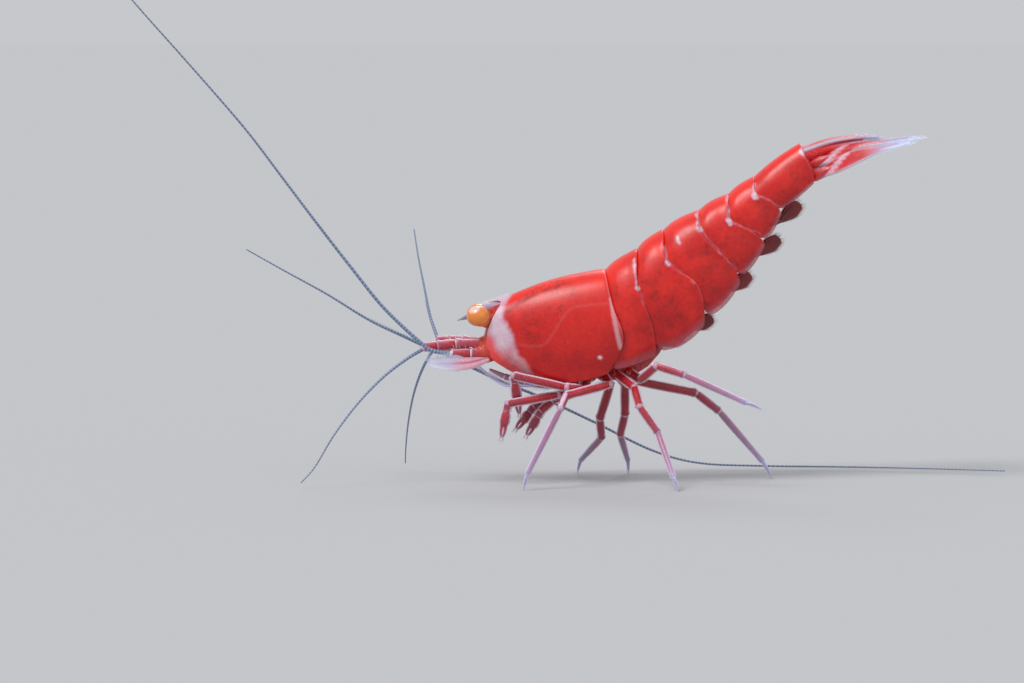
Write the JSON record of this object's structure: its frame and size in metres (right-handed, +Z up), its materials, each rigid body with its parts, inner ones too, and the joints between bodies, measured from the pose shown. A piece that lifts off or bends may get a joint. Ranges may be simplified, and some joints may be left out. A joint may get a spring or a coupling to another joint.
{
  "type": "aquarium shrimp",
  "caption": "Still, life-size model of a red orange-eyed dwarf aquarium shrimp, standing head low with its tail raised and its feelers spread.",
  "frame": {"origin": "centre of the bounding box, on the surface the shrimp stands on", "axes": "-X the way the head looks, -Y the animal's left side, +Z up"},
  "size_m": [0.0568, 0.0152, 0.0333],
  "materials": {
    "shell": "wet, glossy red shell with fine speckles and pale joint marks",
    "tail_fan": "thin glossy plates, red at the root and clear bluish at the tips",
    "eye": "glossy orange cornea",
    "limb": "glossy red limbs with pale translucent edges and white joints",
    "rostrum": "glossy, dark bluish with pale teeth",
    "clear_cuticle": "thin translucent pinkish plate with a fringe of hairs",
    "feeler": "translucent bluish grey, finely ringed",
    "underside": "dark red, moist"
  },
  "bodies": {
    "root": {"abdomen_1": "shell", "abdomen_2": "shell", "abdomen_3": "shell", "abdomen_4": "shell", "abdomen_5": "shell", "abdomen_6": "shell", "antenna_base_left": "limb", "antenna_base_right": "limb", "antenna_left": "feeler", "antenna_right": "feeler", "antenna_scale_left": "clear_cuticle", "antenna_scale_right": "clear_cuticle", "carapace": "shell", "claw_1_left": "limb", "claw_1_right": "limb", "claw_2_left": "limb", "claw_2_right": "limb", "eye_left": "eye", "eye_right": "eye", "eyestalk_left": "limb", "eyestalk_right": "limb", "feeler_inner_left": "feeler", "feeler_inner_right": "feeler", "feeler_outer_left": "feeler", "feeler_outer_right": "feeler", "feeler_stem_left": "limb", "feeler_stem_right": "limb", "leg_1_left": "limb", "leg_1_right": "limb", "leg_2_left": "limb", "leg_2_right": "limb", "leg_3_left": "limb", "leg_3_right": "limb", "leg_4_left": "limb", "leg_4_right": "limb", "leg_5_left": "limb", "leg_5_right": "limb", "maxilliped_left": "limb", "maxilliped_right": "limb", "mouthparts": "underside", "rostrum": "rostrum", "sternum": "underside", "swimmeret_1_left": "underside", "swimmeret_1_right": "underside", "swimmeret_2_left": "underside", "swimmeret_2_right": "underside", "swimmeret_3_left": "underside", "swimmeret_3_right": "underside", "swimmeret_4_left": "underside", "swimmeret_4_right": "underside", "swimmeret_5_left": "underside", "swimmeret_5_right": "underside", "telson": "tail_fan", "uropod_inner_left": "tail_fan", "uropod_inner_right": "tail_fan", "uropod_outer_left": "tail_fan", "uropod_outer_right": "tail_fan"}
  },
  "joints": []
}
